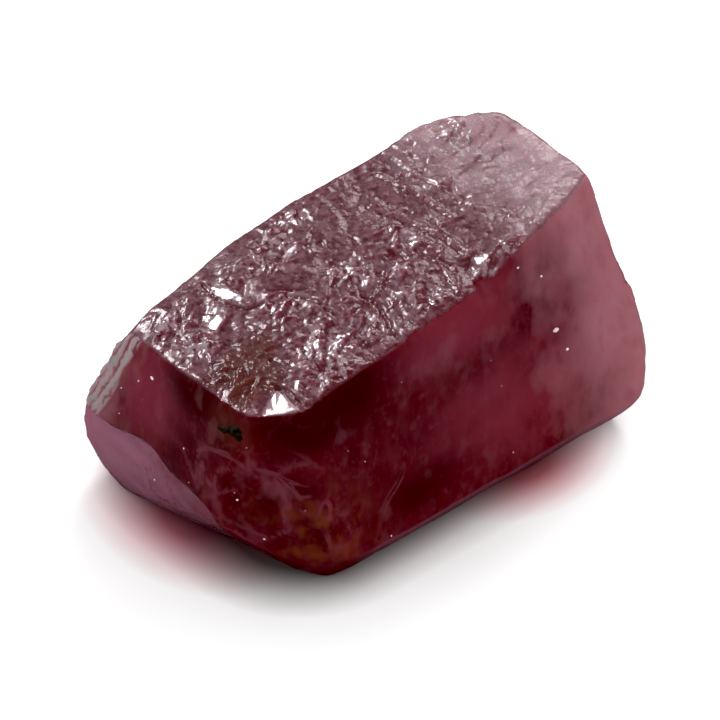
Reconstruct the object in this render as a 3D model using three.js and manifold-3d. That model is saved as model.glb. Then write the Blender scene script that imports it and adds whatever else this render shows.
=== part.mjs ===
// Raw ruby crystal: a stubby, elongated corundum prism lying on one of its flats.
//
// Millimetres, +Z up. The long axis runs along X, the broad front side looks towards -Y,
// and the stone stands on Z = 0 with the middle of its box over the origin.
//
// The stone is cut from a block by its natural faces, each face is divided into small
// triangles, and the corners are then worn round by the years in the river gravel.

import * as THREE from 'three';
import { TessellateModifier } from 'three/addons/modifiers/TessellateModifier.js';
import { mergeVertices } from 'three/addons/utils/BufferGeometryUtils.js';
import Module from 'manifold-3d';

const wasm = await Module();
wasm.setup();

// Driving dimensions -------------------------------------------------------------------

const blockSize = 30;        // the rough block, well past every face
const meshEdge = 0.6;        // longest edge of a small triangle
const meshRounds = 16;       // times a long edge may be halved
const wearSharpness = 60;    // higher keeps the corners crisper
const restDepth = 0.05;      // how far the worn stone is rubbed flat underneath
const waveHeight = 0.035;    // slow swelling and hollowing of the faces
const waveLength = 2.6;

// Each face: the compass heading and upward tilt of its outward direction, in degrees,
// and its distance from the heart of the stone, in millimetres.
const faces = [
  // the broad etched top, which climbs towards +X and drops off at the left end
  { name: 'top', heading: 180, tilt: 83, distance: 2.95 },
  { name: 'topLeft', heading: 160, tilt: 77, distance: 3.07 },

  // the long front side, its right-hand continuation and the undercut below them
  { name: 'front', heading: -90, tilt: 9, distance: 3.45 },
  { name: 'frontRight', heading: -75, tilt: 19, distance: 4.15 },
  { name: 'frontUnder', heading: -90, tilt: -38, distance: 4.25 },

  // the left end, seen nearly square on
  { name: 'leftEnd', heading: 177, tilt: 9, distance: 5.6 },
  { name: 'leftEndLow', heading: 177, tilt: -10, distance: 6.05 },
  { name: 'leftEndUnder', heading: 196, tilt: -41, distance: 5.4 },
  { name: 'leftCorner', heading: 222, tilt: -1, distance: 5.5 },
  { name: 'leftCornerUnder', heading: 232, tilt: -28, distance: 5.6 },
  { name: 'leftStrip', heading: 150, tilt: 19, distance: 6.1 },

  // the far side
  { name: 'farLeft', heading: 98, tilt: 26, distance: 3.55 },
  { name: 'farRight', heading: 90, tilt: 26, distance: 3.5 },
  { name: 'farMiddle', heading: 91, tilt: 7, distance: 3.55 },
  { name: 'farLow', heading: 90, tilt: -20, distance: 4.15 },
  { name: 'farUnder', heading: 115, tilt: -48, distance: 5.4 },

  // the right end
  { name: 'rightEnd', heading: -3, tilt: 11, distance: 5.9 },
  { name: 'rightEndLow', heading: 3, tilt: -2, distance: 5.6 },
  { name: 'rightEndUnder', heading: -10, tilt: -25, distance: 6.3 },
  { name: 'rightCorner', heading: 45, tilt: 20, distance: 5.2 },

  // the flat the stone lies on
  { name: 'rest', heading: 0, tilt: -90, distance: 2.95 },
];

// Swellings on the worn surface: where they sit, measured from the heart of the stone,
// how wide they are and how far they push the surface out (or in, if negative).
const swellings = [
  { at: [4.6, 1.3, 3.65], radius: 0.75, height: 0.3 },      // knob at the far right corner
  { at: [1.1, -2.75, 3.05], radius: 0.5, height: -0.16 },   // nick where the top edge steps
  { at: [2.3, -2.85, 3.25], radius: 0.75, height: 0.12 },   // lip beyond the nick
  { at: [-2.0, 2.4, 2.6], radius: 1.5, height: 0.08 },     // fullness along the far edge
  { at: [5.6, -3.3, -1.3], radius: 1.0, height: 0.14 },      // heel of the right-hand corner
];

// Cutting the stone --------------------------------------------------------------------

function solidFrom(geometry) {
  const bare = geometry.clone();
  bare.deleteAttribute('normal');
  bare.deleteAttribute('uv');
  const merged = mergeVertices(bare, 1e-5);
  return new wasm.Manifold(new wasm.Mesh({
    numProp: 3,
    vertProperties: new Float32Array(merged.attributes.position.array),
    triVerts: new Uint32Array(merged.index.array),
  }));
}

function geometryFrom(solid) {
  const mesh = solid.getMesh();
  const geometry = new THREE.BufferGeometry();
  geometry.setAttribute('position', new THREE.BufferAttribute(mesh.vertProperties, 3));
  geometry.setIndex(new THREE.BufferAttribute(mesh.triVerts, 1));
  return geometry;
}

function outward(face) {
  const heading = THREE.MathUtils.degToRad(face.heading);
  const tilt = THREE.MathUtils.degToRad(face.tilt);
  return new THREE.Vector3(
    Math.cos(heading) * Math.cos(tilt),
    Math.sin(heading) * Math.cos(tilt),
    Math.sin(tilt),
  );
}

// Everything beyond one face, as a block to take away
function beyond(face) {
  const normal = outward(face);
  const waste = new THREE.BoxGeometry(blockSize, 2 * blockSize, 2 * blockSize);
  waste.translate(face.distance + blockSize / 2, 0, 0);
  const turn = new THREE.Quaternion().setFromUnitVectors(new THREE.Vector3(1, 0, 0), normal);
  waste.applyQuaternion(turn);
  return solidFrom(waste);
}

function cutStone() {
  let stone = solidFrom(new THREE.BoxGeometry(blockSize, blockSize, blockSize));
  for (const face of faces) {
    stone = stone.subtract(beyond(face));
  }
  return geometryFrom(stone);
}

// Wearing it ---------------------------------------------------------------------------

// How much of its distance from the heart a point keeps. On a corner, where several faces
// press equally, it keeps less, which rounds the corner; on an open face it keeps it all.
function keptByWear(point, normals) {
  let sum = 0;
  faces.forEach((face, i) => {
    const reach = point.dot(normals[i]) / face.distance;
    if (reach > 0) {
      sum += reach ** wearSharpness;
    }
  });
  return sum ** (-1 / wearSharpness);
}

function swell(point) {
  const k = (2 * Math.PI) / waveLength;
  const wave = Math.sin(k * point.x + 1.3) * Math.cos(0.8 * k * point.y - 0.4)
    + Math.sin(0.7 * k * point.z + 0.9 * k * point.x + 2.1);
  let height = 0.5 * waveHeight * wave;
  for (const { at, radius, height: rise } of swellings) {
    const away = point.distanceTo(new THREE.Vector3(...at)) / radius;
    height += rise * Math.exp(-away * away);
  }
  return height;
}

function wearStone(geometry) {
  const fine = mergeVertices(new TessellateModifier(meshEdge, meshRounds).modify(geometry), 1e-4);
  const normals = faces.map(outward);
  const position = fine.attributes.position;
  const point = new THREE.Vector3();
  for (let i = 0; i < position.count; i++) {
    point.fromBufferAttribute(position, i);
    point.multiplyScalar(keptByWear(point, normals));
    point.addScaledVector(point.clone().normalize(), swell(point));
    position.setXYZ(i, point.x, point.y, point.z);
  }
  return fine;
}

// Rubs the underside flat and stands the stone on Z = 0 over the origin
function layDown(geometry) {
  const rest = faces.find((face) => face.name === 'rest');
  const floor = restDepth - rest.distance;
  const position = geometry.attributes.position;
  for (let i = 0; i < position.count; i++) {
    position.setZ(i, Math.max(position.getZ(i), floor));
  }
  geometry.computeBoundingBox();
  const { min, max } = geometry.boundingBox;
  geometry.translate(-(min.x + max.x) / 2, -(min.y + max.y) / 2, -min.z);
  return geometry;
}

// The one sub-part ---------------------------------------------------------------------

function rubyCrystal() {
  const geometry = layDown(wearStone(cutStone()));
  geometry.computeVertexNormals();
  const material = new THREE.MeshStandardMaterial({
    color: 0x9c2350,
    roughness: 0.45,
    metalness: 0,
    transparent: true,
    opacity: 0.85,
  });
  const crystal = new THREE.Mesh(geometry, material);
  crystal.name = 'ruby_crystal';
  return crystal;
}

const stone = new THREE.Group();
stone.add(rubyCrystal());

export default stone;
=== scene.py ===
import itertools
import math

import bmesh
import bpy
import numpy as np
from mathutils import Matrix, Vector


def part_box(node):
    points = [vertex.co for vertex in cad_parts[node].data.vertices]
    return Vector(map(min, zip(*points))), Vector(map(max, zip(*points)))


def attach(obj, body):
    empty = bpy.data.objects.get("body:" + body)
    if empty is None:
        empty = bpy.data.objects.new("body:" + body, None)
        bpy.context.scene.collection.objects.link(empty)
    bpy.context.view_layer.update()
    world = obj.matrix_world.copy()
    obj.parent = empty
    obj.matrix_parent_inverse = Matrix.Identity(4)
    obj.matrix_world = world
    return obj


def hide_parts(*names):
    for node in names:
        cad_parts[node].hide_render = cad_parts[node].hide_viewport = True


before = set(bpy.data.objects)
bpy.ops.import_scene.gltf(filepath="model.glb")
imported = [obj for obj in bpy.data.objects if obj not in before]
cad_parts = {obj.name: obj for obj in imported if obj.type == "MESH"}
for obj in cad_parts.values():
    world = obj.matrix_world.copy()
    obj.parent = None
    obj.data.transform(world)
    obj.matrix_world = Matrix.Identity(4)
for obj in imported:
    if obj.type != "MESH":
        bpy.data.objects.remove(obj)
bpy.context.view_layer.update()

# the crystal's own box; every place on the stone is a share of it, and shapes are worked out in millimetres
mm = 0.001
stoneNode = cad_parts["ruby_crystal"]
stoneLow, stoneHigh = [np.array(corner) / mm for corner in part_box("ruby_crystal")]
stoneSize = stoneHigh - stoneLow


def place(u, v, w):
    # u left to right, v front to back, w bottom to top, each from 0 to 1
    return stoneLow + stoneSize * np.array([u, v, w])


def shares(points):
    return (points - stoneLow) / stoneSize


def ramp(low, high, value):
    t = np.clip((value - low) / (high - low), 0, 1)
    return t * t * (3 - 2 * t)


def mound(distance, radius):
    # 1 at the middle, 0 from the radius on
    return 1 - ramp(0, 1, distance / radius)


def cellRandom(cells, seed):
    # a steady random number from 0 to 1 for each whole-numbered cell
    mixed = np.full(len(cells), seed * 7919 + 104729, np.int64)
    for axis, prime in zip(range(cells.shape[1]), (73856093, 19349663, 83492791)):
        mixed ^= cells[:, axis].astype(np.int64) * prime
    mixed = (mixed ^ (mixed >> 13)) * 1274126177 & 0x7FFFFFFF
    mixed = (mixed ^ (mixed >> 15)) * 668265263 & 0x7FFFFFFF
    return ((mixed ^ (mixed >> 14)) & 0xFFFFF) / 0xFFFFF


def softNoise(points, size, seed, layers=3, fade=0.5):
    # smooth random hills from -1 to 1, each layer half the size of the last
    total = np.zeros(len(points))
    weight, reach = 1.0, 0.0
    for layer in range(layers):
        grid = points / (size / 2**layer) + 17.3 * layer
        cell = np.floor(grid)
        part = grid - cell
        part = part**3 * (part * (part * 6 - 15) + 10)
        value = np.zeros(len(points))
        for corner in itertools.product((0, 1), repeat=points.shape[1]):
            share = np.prod(np.where(corner, part, 1 - part), axis=1)
            value += share * cellRandom(cell + corner, seed + 31 * layer)
        total += weight * (value * 2 - 1)
        reach += weight
        weight *= fade
    return total / reach


def warped(points, size, amount, seed):
    push = [softNoise(points, size, seed + 5 * axis, 2) for axis in range(points.shape[1])]
    return points + amount * np.stack(push, axis=1)


def chips(points, size, slope, seed):
    # random cells, each with a flat face tilted its own way: height, and how near the cell's border is
    grid = points / size
    base = np.floor(grid)
    nearest = np.full(len(points), 9.0)
    second = np.full(len(points), 9.0)
    height = np.zeros(len(points))
    axes = points.shape[1]
    for step in itertools.product((-1, 0, 1), repeat=axes):
        cell = base + step
        gap = grid - cell - np.stack([cellRandom(cell, seed + 3 * axis) for axis in range(axes)], axis=1)
        distance = np.sqrt((gap**2).sum(axis=1))
        tilt = np.stack([cellRandom(cell, seed + 50 + 3 * axis) * 2 - 1 for axis in range(axes)], axis=1)
        rise = (cellRandom(cell, seed + 90) - 0.5) * 0.35
        closer = distance < nearest
        second = np.where(closer, nearest, np.minimum(second, distance))
        height = np.where(closer, (gap * tilt).sum(axis=1) + rise, height)
        nearest = np.where(closer, distance, nearest)
    return height * slope * size, (second - nearest) * size


def roundedLine(points, rounds=3):
    # cuts the corners of a line of a few points until it runs smoothly
    line = np.array(points, float)
    for _ in range(rounds):
        early = line[:-1] * 0.75 + line[1:] * 0.25
        late = line[:-1] * 0.25 + line[1:] * 0.75
        middle = np.stack([early, late], axis=1).reshape(-1, line.shape[1])
        line = np.vstack([line[:1], middle, line[-1:]])
    return line


def lineDistance(points, line):
    # distance to the line, and the side of it: positive on the left of its run (first two axes)
    best = np.full(len(points), 1e9)
    side = np.ones(len(points))
    for start, end in zip(line[:-1], line[1:]):
        run = end - start
        t = np.clip(((points - start) @ run) / max(run @ run, 1e-12), 0, 1)
        away = points - start - t[:, None] * run
        distance = np.sqrt((away**2).sum(axis=1))
        closer = distance < best
        turn = run[0] * away[:, 1] - run[1] * away[:, 0]
        side = np.where(closer, np.sign(turn), side)
        best = np.where(closer, distance, best)
    return best, side


def linkPiece(name, mesh):
    piece = bpy.data.objects.new(name, mesh)
    bpy.context.scene.collection.objects.link(piece)
    return piece


def settle(piece):
    # the piece's modifiers become its mesh
    bpy.context.view_layer.update()
    shaped = piece.evaluated_get(bpy.context.evaluated_depsgraph_get())
    mesh = bpy.data.meshes.new_from_object(shaped)
    old = piece.data
    piece.modifiers.clear()
    piece.data = mesh
    bpy.data.meshes.remove(old)
    return piece


def meshArrays(mesh):
    points = np.zeros(len(mesh.vertices) * 3)
    normals = np.zeros(len(mesh.vertices) * 3)
    mesh.vertices.foreach_get("co", points)
    mesh.vertex_normals.foreach_get("vector", normals)
    return points.reshape(-1, 3), normals.reshape(-1, 3)


def keepValues(mesh, name, values):
    attribute = mesh.attributes.get(name) or mesh.attributes.new(name, "FLOAT", "POINT")
    attribute.data.foreach_set("value", values.astype(np.float32))


def readValues(mesh, name):
    values = np.zeros(len(mesh.vertices), np.float32)
    mesh.attributes[name].data.foreach_get("value", values)
    return values


def joinRoot(piece, material):
    piece.data.materials.clear()
    piece.data.materials.append(material)
    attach(piece, "root")
    return piece


# the camera looks down on the left end, the front side and the etched top
cameraSet = {
    "azimuth": -41,
    "elevation": 38,
    "lens": 200,
    "away": 93,  # millimetres from the point it looks at
    "aim": (0.487, 0.503, 0.396),
}


def makeCamera():
    azimuth, elevation = math.radians(cameraSet["azimuth"]), math.radians(cameraSet["elevation"])
    level = math.cos(elevation)
    back = Vector((math.sin(azimuth) * level, -math.cos(azimuth) * level, math.sin(elevation)))
    lens = bpy.data.cameras.new("studioCamera")
    lens.lens = cameraSet["lens"]
    lens.clip_start = 0.01
    lens.clip_end = 20
    camera = bpy.data.objects.new("studioCamera", lens)
    bpy.context.scene.collection.objects.link(camera)
    camera.location = Vector(place(*cameraSet["aim"]) * mm) + back * cameraSet["away"] * mm
    camera.rotation_euler = (-back).to_track_quat("-Z", "Y").to_euler()
    bpy.context.scene.camera = camera


# lines on the etched top, by share of the box: ridges stand up, grooves are cut in
topRidges = {  # 1 or -1: the side that falls into shade
    "outerRidge": -1, "middleRidge": -1, "innerRidge": -1, "thinRidge": 1, "farRidge": -1, "lastRidge": -1,
}
topGrooves = ("crossGroove", "longGroove", "archGroove", "smallArch", "slot", "frontArc")
topLines = {
    "outerRidge": [(0.585, 0.62), (0.60, 0.54), (0.615, 0.46), (0.622, 0.36), (0.622, 0.25), (0.618, 0.14)],
    "middleRidge": [(0.55, 0.42), (0.58, 0.37), (0.585, 0.31), (0.575, 0.24), (0.56, 0.185), (0.524, 0.13)],
    "innerRidge": [(0.545, 0.34), (0.562, 0.285), (0.552, 0.215), (0.53, 0.15)],
    "crossGroove": [(0.40, 0.34), (0.408, 0.29), (0.392, 0.22), (0.370, 0.14), (0.371, 0.08)],
    "longGroove": [(0.30, 0.50), (0.322, 0.45), (0.326, 0.37), (0.336, 0.30), (0.40, 0.30)],
    "thinRidge": [(0.33, 0.30), (0.37, 0.292), (0.40, 0.305), (0.44, 0.318), (0.47, 0.35)],
    "archGroove": [(0.225, 0.755), (0.215, 0.69), (0.214, 0.62), (0.225, 0.55), (0.26, 0.53)],
    "smallArch": [(0.285, 0.56), (0.30, 0.535), (0.32, 0.51), (0.338, 0.475)],
    "slot": [(0.305, 0.165), (0.325, 0.155), (0.34, 0.155)],
    "frontArc": [(0.125, 0.23), (0.135, 0.19), (0.13, 0.14), (0.135, 0.10)],
    "farRidge": [(0.69, 0.68), (0.712, 0.60), (0.718, 0.52), (0.715, 0.44), (0.725, 0.36)],
    "lastRidge": [(0.66, 0.74), (0.665, 0.64), (0.675, 0.52), (0.67, 0.40)],
}

# areas of the top: middle and half size by share; broken ones sparkle, smooth ones stay calm
topAreas = {
    "sparkle": [
        (0.13, 0.60, 0.08, 0.14), (0.25, 0.66, 0.03, 0.09), (0.34, 0.68, 0.07, 0.09), (0.27, 0.48, 0.06, 0.07),
        (0.28, 0.27, 0.10, 0.13), (0.21, 0.16, 0.08, 0.06), (0.42, 0.45, 0.05, 0.07), (0.47, 0.19, 0.05, 0.08),
        (0.42, 0.76, 0.08, 0.05), (0.72, 0.48, 0.02, 0.14), (0.75, 0.31, 0.03, 0.05), (0.84, 0.69, 0.04, 0.07),
        (0.62, 0.18, 0.03, 0.07), (0.69, 0.17, 0.04, 0.05), (0.56, 0.44, 0.04, 0.06), (0.50, 0.33, 0.03, 0.04),
    ],
    "smooth": [
        (0.16, 0.51, 0.04, 0.03), (0.19, 0.31, 0.02, 0.03), (0.66, 0.45, 0.04, 0.25), (0.79, 0.55, 0.03, 0.2),
    ],
    "holes": [
        (0.515, 0.38, 0.015, 0.05), (0.55, 0.34, 0.008, 0.03), (0.565, 0.24, 0.008, 0.05),
        (0.46, 0.36, 0.010, 0.02), (0.585, 0.14, 0.012, 0.02), (0.44, 0.60, 0.010, 0.02),
    ],
}

# the brown stained patch of the top, its corners by share
smearCorners = [
    (0.040, 0.23), (0.12, 0.215), (0.165, 0.27), (0.20, 0.36), (0.215, 0.44), (0.14, 0.465), (0.040, 0.43),
]

# flat broken facets on the top, by share: they lean towards the light, so they shine, and they also get a
# painted highlight and a clear coat
topFacets = {
    "cornerFacet": [(0.058, 0.190), (0.112, 0.095), (0.122, 0.222)],
    "sliverFacet": [(0.228, 0.740), (0.218, 0.690), (0.226, 0.610), (0.246, 0.575), (0.244, 0.660)],
    "smallFacet": [(0.190, 0.600), (0.150, 0.610), (0.146, 0.565), (0.182, 0.560)],
    "middleFacet": [(0.440, 0.470), (0.425, 0.475), (0.423, 0.440), (0.441, 0.435)],
    "farFacet": [(0.835, 0.715), (0.805, 0.715), (0.808, 0.680), (0.838, 0.685)],
    "ridgeFacet": [(0.640, 0.190), (0.618, 0.230), (0.606, 0.190), (0.622, 0.160)],
}
facetLean = (0.46, -0.12)  # rise along x and y
# how strong each facet's painted highlight and clear coat are
facetGlintAndCoat = {"cornerFacet": 0.8}
otherGlintAndCoat = 0.25

# etch faces that lean this way, towards the glint lamp, get a painted highlight in their colour and a clear
# coat; those that lean back get painted shade
paintedLeanLight = {
    "topLean": (0.15, 0.0),  # the rise of the whole top along x and y
    "direction": (0.94, -0.33),
    "starts": 0.05,
    "full": 0.30,
    "calmShare": 0.15,  # how much of it the calm parts of the top get
}

# cracks that reach the skin of the sides, by share: left to right, front to back, bottom to top
skinCracks = {
    "frontFeather": [(0.335, 0.03, 0.40), (0.320, 0.025, 0.348), (0.275, 0.018, 0.296),
                     (0.251, 0.006, 0.185)],
    "cornerVein": [(0.035, 0.21, 0.545), (0.069, 0.155, 0.537), (0.090, 0.121, 0.502),
                   (0.117, 0.078, 0.380), (0.144, 0.041, 0.275), (0.15, 0.03, 0.19)],
    "endArc": [(0.022, 0.40, 0.50), (0.022, 0.36, 0.545), (0.026, 0.252, 0.579), (0.035, 0.215, 0.545)],
    "lowArc": [(0.012, 0.38, 0.47), (0.013, 0.33, 0.41), (0.018, 0.26, 0.42), (0.025, 0.235, 0.50)],
    "cornerBranch": [(0.09, 0.121, 0.502), (0.13, 0.07, 0.47), (0.17, 0.045, 0.45)],
    "cellArc": [(0.100, 0.10, 0.43), (0.128, 0.065, 0.44), (0.155, 0.045, 0.40), (0.150, 0.045, 0.335)],
}

# lines on the left end, by share front to back and bottom to top
leftLines = {
    "heelEdge": [(1.10, 0.34), (0.89, 0.317), (0.80, 0.325), (0.70, 0.366), (0.61, 0.381), (0.56, 0.356),
                 (0.50, 0.337), (0.43, 0.341), (0.34, 0.331), (0.30, 0.294), (0.27, 0.24), (0.22, 0.05)],
    "ribEdge": [(0.735, 0.80), (0.735, 0.719), (0.781, 0.571), (0.832, 0.417), (0.889, 0.317), (0.95, 0.20)],
}

# gentle changes of the stone's outline: middle by share, radius and height in millimetres
outlineChanges = {
    "farKnob": ((0.925, 0.64, 1.0), 0.75, 0.13),
    "rightBelly": ((0.97, 0.08, 0.45), 1.7, 0.11),
    "leftShoulder": ((0.055, 0.77, 0.70), 0.8, -0.16),
    "leftBrow": ((0.045, 0.50, 0.66), 1.0, 0.05),
}

stoneShape = {
    "pointGap": 0.042,  # millimetres between points before thinning
    "smoothRounds": 10,
    "mostTriangles": 192000,
    "streakHeight": 0.006,
    "dentHeight": 0.012,
    "roughChips": (1.5, 0.03),  # size and slope on the rougher back and right end
    "smallChips": (0.6, 0.02),
    "bandHeight": 0.016,
    "ribHeight": 0.055,
    "ribsEach": 4.2,  # ribs to a millimetre
    "heelStep": 0.035,
    "nickDepth": 0.42,
    "crackDepth": 0.02,
}

# the etched top, in millimetres; sizes with slopes, and the way the strokes run in degrees
etching = {
    "chips": [(1.05, 0.08, 3), (0.50, 0.13, 23)],  # size, slope, seed
    "strokes": [(0.42, 0.32, 32), (0.30, 0.28, -35), (0.20, 0.15, 50), (0.13, 0.08, -10)],
    "strokeSquash": (0.42, 1.3),  # makes each stroke longer than it is wide
    "calmShare": 0.16,
    "unevenness": 0.010,
    "terraceHeight": 0.04,
    "terraceSize": 1.8,
    "holeDepth": 0.05,
    "ridgeHeight": 0.07,
    "ridgeWidth": 0.15,
    "smallRidgeShare": 0.6,
    "smallRidgeWidth": 0.09,
    "grooveDepth": 0.08,
    "grooveWidth": 0.09,
}


def refinedStone():
    mesh = stoneNode.data.copy()
    mesh.materials.clear()
    piece = linkPiece("ruby_crystal_skin", mesh)
    points, _ = meshArrays(mesh)
    mesh.vertices.foreach_set("co", (points / mm).ravel())
    remesh = piece.modifiers.new("even", "REMESH")
    remesh.mode = "VOXEL"
    remesh.voxel_size = stoneShape["pointGap"]
    soften = piece.modifiers.new("soften", "SMOOTH")
    soften.factor = 0.5
    soften.iterations = stoneShape["smoothRounds"]
    return settle(piece)


def topLine(name):
    return roundedLine([place(u, v, 1)[:2] for u, v in topLines[name]])


def topPatches(flat, name):
    # 1 in the middle of each listed patch of the top, 0 outside them all
    best = np.zeros(len(flat))
    for u, v, halfWide, halfDeep in topAreas[name]:
        gap = (flat - place(u, v, 1)[:2]) / (stoneSize[:2] * np.array([halfWide, halfDeep]))
        best = np.maximum(best, mound(np.hypot(gap[:, 0], gap[:, 1]), 1.3))
    return best


def turnedFlat(flat, degrees):
    angle = math.radians(degrees)
    return flat @ np.array([[math.cos(angle), -math.sin(angle)], [math.sin(angle), math.cos(angle)]])


def raggedFlat(flat, size, amount, seed):
    push = [softNoise(flat, size, seed + axis, 4, 0.7) for axis in range(2)]
    return flat + amount * np.stack(push, axis=1)


def etchedRelief(flat, across, along):
    # the natural etching of the top, flat holding x and y: its height, and where it is
    # broken up (busy), hollow and darkened there with painted shade (also on the shaded side of ridges), or
    # stained (smear)
    ragged = raggedFlat(flat, 0.8, 0.3, 87)
    ring = np.array([place(u, v, 1)[:2] for u, v in smearCorners])
    smear = facetShare(ragged, ring, 0.25) * ramp(-0.9, 0.3, softNoise(flat, 0.4, 139, 4, 0.7))
    busy = ramp(0.0, 0.6, topPatches(ragged, "sparkle") + 0.25 * softNoise(flat, 0.6, 89, 3, 0.7))
    busy *= 1 - np.maximum(smear, ramp(0.2, 0.6, topPatches(ragged, "smooth")))
    bent = warped(flat, 0.9, 0.22, 11)
    relief = np.zeros(len(flat))
    for size, slope, seed in etching["chips"]:
        relief += chips(bent, size, slope, seed)[0] * (0.45 + 0.55 * busy)
    hollowShade = np.zeros(len(flat))
    calm = etching["calmShare"]
    for size, slope, heading in etching["strokes"]:
        strokes = turnedFlat(bent, heading) * np.array(etching["strokeSquash"])
        height, border = chips(strokes, size, slope, 100 + heading)
        relief += height * (calm + (1 - calm) * np.maximum(busy, 0.35 * smear))
        hollowShade = np.maximum(hollowShade, mound(border, 0.02 + 0.05 * size) * (0.05 + 0.3 * busy))
    relief -= 0.015 * hollowShade
    relief += etching["unevenness"] * softNoise(flat, 0.3, 71, 2, 0.7)
    # terraces: broad hills cut into level steps
    steps = softNoise(flat * np.array([1.0, 0.8]), etching["terraceSize"], 83, 2) * 3
    level = np.floor(steps) + ramp(0.35, 0.65, steps - np.floor(steps))
    relief += etching["terraceHeight"] * level * (1 - smear)
    holes = ramp(0.1, 0.5, topPatches(raggedFlat(flat, 0.3, 0.1, 79), "holes"))
    hollowShade = np.maximum(hollowShade, holes)
    relief -= etching["holeDepth"] * holes
    ragged = raggedFlat(flat, 0.35, 0.05, 77)
    for name, shadeSide in topRidges.items():
        distance, side = lineDistance(ragged, topLine(name))
        main = name == "outerRidge"
        width = etching["ridgeWidth"] if main else etching["smallRidgeWidth"]
        rise = etching["ridgeHeight"] * (1.0 if main else etching["smallRidgeShare"])
        relief += rise * mound(distance, width)
        # painted shade along the ridge's shaded side
        shade = mound(np.abs(distance - width), 0.05) * (side * shadeSide > 0)
        hollowShade = np.maximum(hollowShade, 0.7 * shade)
    for name in topGrooves:
        distance, side = lineDistance(ragged, topLine(name))
        cut = mound(distance, etching["grooveWidth"])
        relief -= etching["grooveDepth"] * cut
        relief += 0.3 * etching["grooveDepth"] * mound(distance, 0.3) * (side < 0)
        hollowShade = np.maximum(hollowShade, cut)
    # calmer towards the far edge and the right-hand end
    relief *= (0.25 + 0.75 * ramp(0.86, 0.74, along)) * (0.4 + 0.6 * ramp(0.95, 0.86, across))
    return relief, busy, hollowShade, smear


def facetShare(flat, corners, rim=0.03):
    # 1 inside a facet whose corners run left-handed round it, fading over its rim
    inside = np.full(len(flat), 9.0)
    for start, end in zip(corners, np.roll(corners, -1, axis=0)):
        run = (end - start) / np.linalg.norm(end - start)
        away = flat - start
        inside = np.minimum(inside, run[0] * away[:, 1] - run[1] * away[:, 0])
    return ramp(-rim, rim, inside)


def breakFacets(points):
    flat = points[:, :2]
    broken = np.zeros(len(points))
    for name, corners in topFacets.items():
        ring = np.array([place(u, v, 1)[:2] for u, v in corners])
        share = facetShare(flat, ring) * (shares(points)[:, 2] > 0.7)
        middle = ring.mean(axis=0)
        height = np.average(points[:, 2], weights=share + 1e-9)
        plane = height + (flat - middle) @ np.array(facetLean)
        points[:, 2] += share * (plane - points[:, 2])
        # how much painted highlight and clear coat each facet gets
        broken = np.maximum(broken, share * facetGlintAndCoat.get(name, otherGlintAndCoat))
    return broken


def leftLine(name):
    size = stoneSize[1:]
    return roundedLine([stoneLow[1:] + size * np.array(pair) for pair in leftLines[name]], 2)


def leftEndParts(points, normals):
    # the smooth heel below its edge and the ribbed strip at the far side, and distances from their edges
    onEnd = ramp(-0.45, -0.65, normals[:, 0]) * ramp(0.22, 0.16, shares(points)[:, 0])
    heelGap, heelSide = lineDistance(points[:, 1:], leftLine("heelEdge"))
    ribGap, ribSide = lineDistance(points[:, 1:], leftLine("ribEdge"))
    lower = ramp(0.34, 0.08, shares(points)[:, 0]) * ramp(0.30, -0.2, normals[:, 2])
    heel = ramp(-0.03, 0.03, heelGap * heelSide) * np.maximum(onEnd, lower)
    ribs = ramp(-0.03, 0.03, ribGap * ribSide) * onEnd * (1 - heel)
    return heel, ribs, heelGap * heelSide, ribGap * ribSide


def ribCourse(points, ribGap):
    # counts the ribs across the ribbed strip, wavering a little
    return ribGap * stoneShape["ribsEach"] + softNoise(points, 0.7, 101, 4, 0.65)


def crackMask(points):
    gap = np.full(len(points), 9.0)
    for path in skinCracks.values():
        line = roundedLine([place(*spot) for spot in path], 2)
        gap = np.minimum(gap, lineDistance(points, line)[0])
    wander = 0.05 * softNoise(points, 0.45, 151, 3)
    broken = ramp(-0.35, 0.1, softNoise(points, 0.5, 153, 2))
    return mound(np.abs(gap - 0.04 + wander), 0.045) * broken * ramp(0.16, 0.08, gap)


def changeOutline(points, normals):
    for middle, radius, height in outlineChanges.values():
        gap = np.linalg.norm(points - place(*middle), axis=1)
        points += normals * (height * mound(gap, radius))[:, None]
    share = shares(points)
    u, v, w = share[:, 0], share[:, 1], share[:, 2]
    reach = 0.8 * mound(np.abs(u - 0.592), 0.03) * ramp(0.80, 0.92, w)
    reach += 0.45 * ramp(0.58, 0.68, u) * ramp(0.88, 0.68, u) * ramp(0.5, 0.88, w)
    points[:, 1] += stoneShape["nickDepth"] * reach * ramp(0.34, 0.12, v)
    return points


def hiddenShare(normals):
    # 1 on the back and the right end, which are rougher than the front
    return np.maximum(ramp(0.15, 0.5, normals[:, 1]), ramp(0.35, 0.7, normals[:, 0]))


def sideRelief(points, normals, sides):
    # streaks and dents everywhere, chips and growth bands on the rougher faces
    turned = points * np.array([3.2, 3.2, 0.45])
    relief = sides * stoneShape["streakHeight"] * softNoise(turned, 0.9, 91, 3, 0.6)
    relief += sides * stoneShape["dentHeight"] * softNoise(points, 0.8, 97, 3, 0.55)
    rougher = sides * hiddenShare(normals)
    size, slope = stoneShape["roughChips"]
    relief += rougher * chips(warped(points, size, 0.4, 187), size, slope, 191)[0]
    size, slope = stoneShape["smallChips"]
    relief += rougher * chips(points * np.array([1, 1, 0.7]), size, slope, 193)[0]
    bands = points * np.array([0.35, 0.35, 4.0])
    return relief + rougher * stoneShape["bandHeight"] * softNoise(bands, 0.9, 197, 3, 0.6)


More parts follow.
